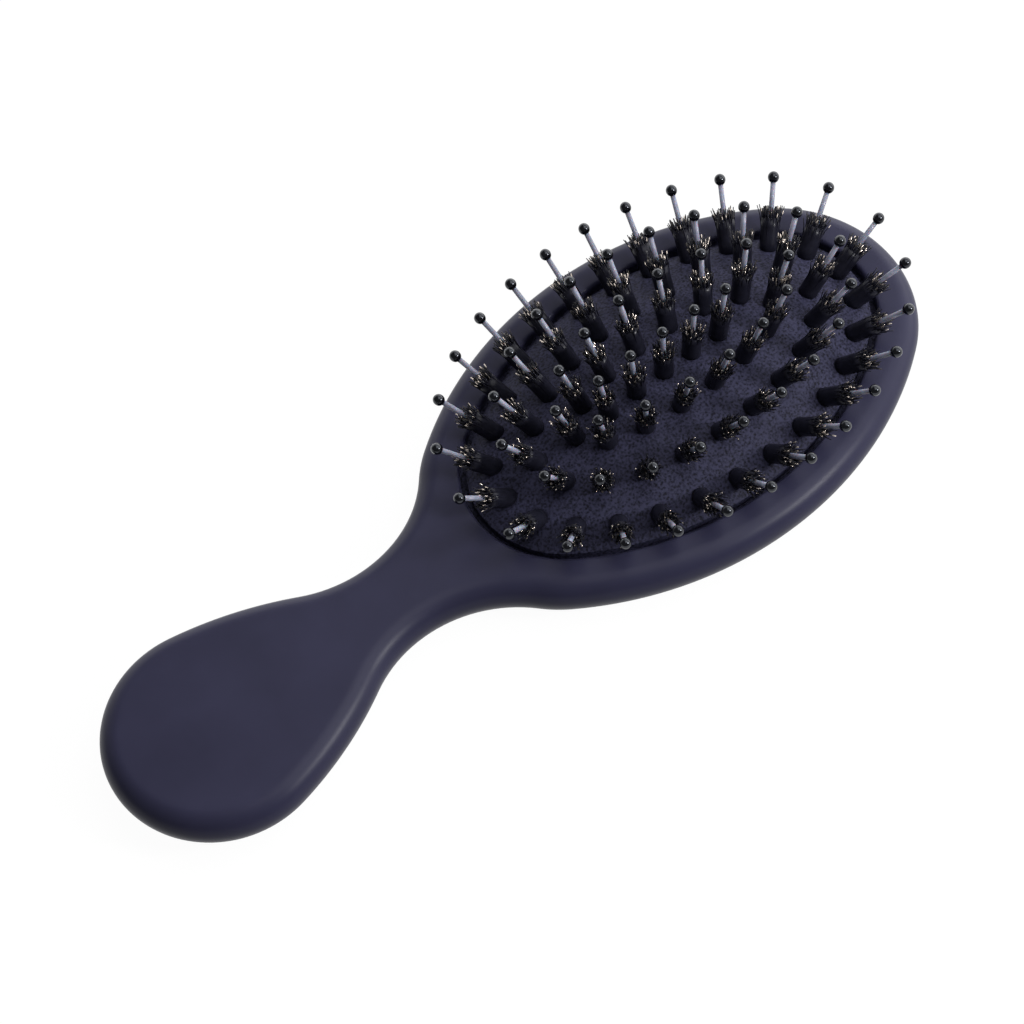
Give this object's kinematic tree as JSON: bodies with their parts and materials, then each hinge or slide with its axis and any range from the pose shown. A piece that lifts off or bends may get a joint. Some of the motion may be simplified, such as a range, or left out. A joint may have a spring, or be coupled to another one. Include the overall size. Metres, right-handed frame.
{
  "type": "travel hairbrush",
  "caption": "Small oval cushion hairbrush with a one-piece handle and head, a domed rubber pad and fanned bristle tufts with ball-tipped pins.",
  "frame": {"origin": "centre of the brush's box, on the flat back that it rests on", "axes": "+X along the brush towards the head's tip, +Y across it, +Z out of the bristle face"},
  "size_m": [0.145, 0.0568, 0.0252],
  "materials": {
    "soft_touch_handle": "dark violet-grey moulding with a satin soft-touch coat",
    "pad_rubber": "violet-grey rubber with a fine pebbled grain",
    "bristle": "near-black bristle with pale bronze cut ends",
    "nylon_pin": "translucent pale lavender-grey nylon",
    "ball_tip": "glossy black dipped ball",
    "staple_steel": "plain drawn steel"
  },
  "bodies": {
    "handle": {"handle_body": "soft_touch_handle", "cushion_pad": "pad_rubber"},
    "middle_row": {"bristle_tufts_middle": "bristle", "nylon_pins_middle": "nylon_pin", "ball_tips_middle": "ball_tip", "tuft_staples_middle": "staple_steel"},
    "third_ring": {"bristle_tufts_third": "bristle", "nylon_pins_third": "nylon_pin", "ball_tips_third": "ball_tip", "tuft_staples_third": "staple_steel"},
    "second_ring": {"bristle_tufts_second": "bristle", "nylon_pins_second": "nylon_pin", "ball_tips_second": "ball_tip", "tuft_staples_second": "staple_steel"},
    "outer_ring": {"bristle_tufts_outer": "bristle", "nylon_pins_outer": "nylon_pin", "ball_tips_outer": "ball_tip", "tuft_staples_outer": "staple_steel"}
  },
  "joints": [
    {"name": "cushion_press", "type": "slide", "parent": "handle", "child": "middle_row", "axis": [0, 0, -1], "range_m": [0, 0.003], "stiffness_N_per_m": 600, "deforming": ["cushion_pad"]},
    {"name": "third_ring_sink", "type": "slide", "parent": "handle", "child": "third_ring", "axis": [0, 0, -1], "range_m": [0, 0.0028], "stiffness_N_per_m": 900},
    {"name": "second_ring_sink", "type": "slide", "parent": "handle", "child": "second_ring", "axis": [0, 0, -1], "range_m": [0, 0.0021], "stiffness_N_per_m": 900},
    {"name": "outer_ring_sink", "type": "slide", "parent": "handle", "child": "outer_ring", "axis": [0, 0, -1], "range_m": [0, 0.001], "stiffness_N_per_m": 900}
  ],
  "couplings": [
    {"joint": "third_ring_sink", "follows": "cushion_press", "ratio": 0.9},
    {"joint": "second_ring_sink", "follows": "cushion_press", "ratio": 0.68},
    {"joint": "outer_ring_sink", "follows": "cushion_press", "ratio": 0.32}
  ]
}
